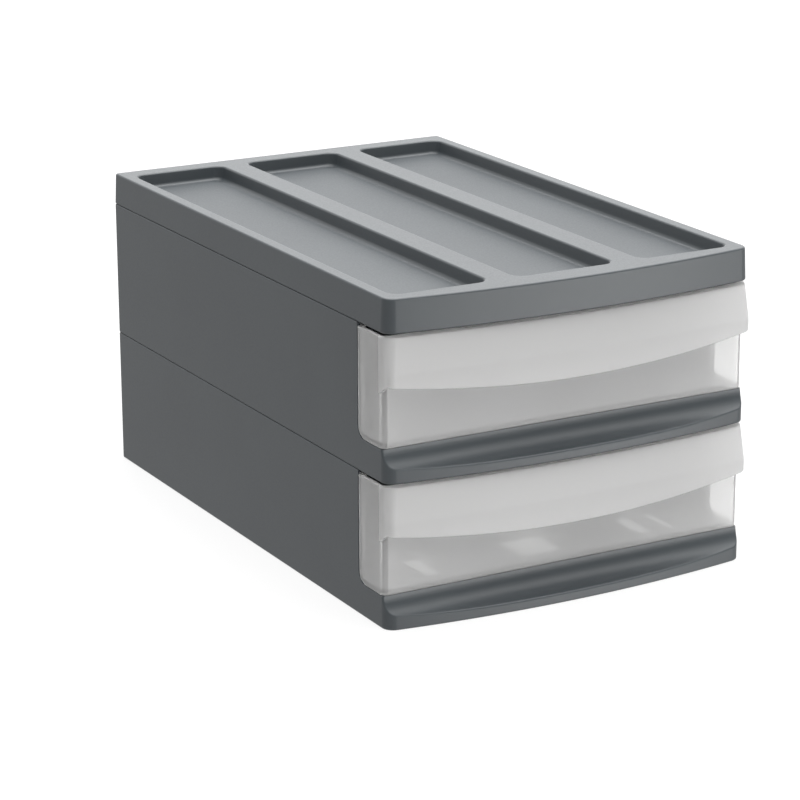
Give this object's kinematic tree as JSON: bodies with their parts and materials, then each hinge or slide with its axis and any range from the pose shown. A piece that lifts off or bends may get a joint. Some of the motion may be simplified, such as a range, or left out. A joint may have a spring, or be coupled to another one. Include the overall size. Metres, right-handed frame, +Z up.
{
  "type": "letter tray stack with drawers",
  "caption": "Desk organizer of stacked tray housings with translucent pull-out drawers, scooped front lips, bowed handle bands and a cover with long open pen troughs.",
  "frame": {"origin": "centre of the bounding box's bottom face, on the surface that the stack stands on", "axes": "+Z up, -Y out of the front, +X to the right seen from the front"},
  "size_m": [0.255, 0.395, 0.203],
  "materials": {
    "grey_plastic": "satin dark grey injection moulding",
    "translucent_plastic": "translucent clear moulding with a frosted handle band"
  },
  "bodies": {
    "stack": {"top_cover": "grey_plastic", "upper_housing": "grey_plastic", "lower_housing": "grey_plastic"},
    "upper_drawer": {"upper_drawer": "translucent_plastic"},
    "lower_drawer": {"lower_drawer": "translucent_plastic"}
  },
  "joints": [
    {"name": "upper_drawer_slide", "type": "slide", "parent": "stack", "child": "upper_drawer", "axis": [0, -1, 0], "range_m": [0, 0.294]},
    {"name": "lower_drawer_slide", "type": "slide", "parent": "stack", "child": "lower_drawer", "axis": [0, -1, 0], "range_m": [0, 0.294]}
  ]
}
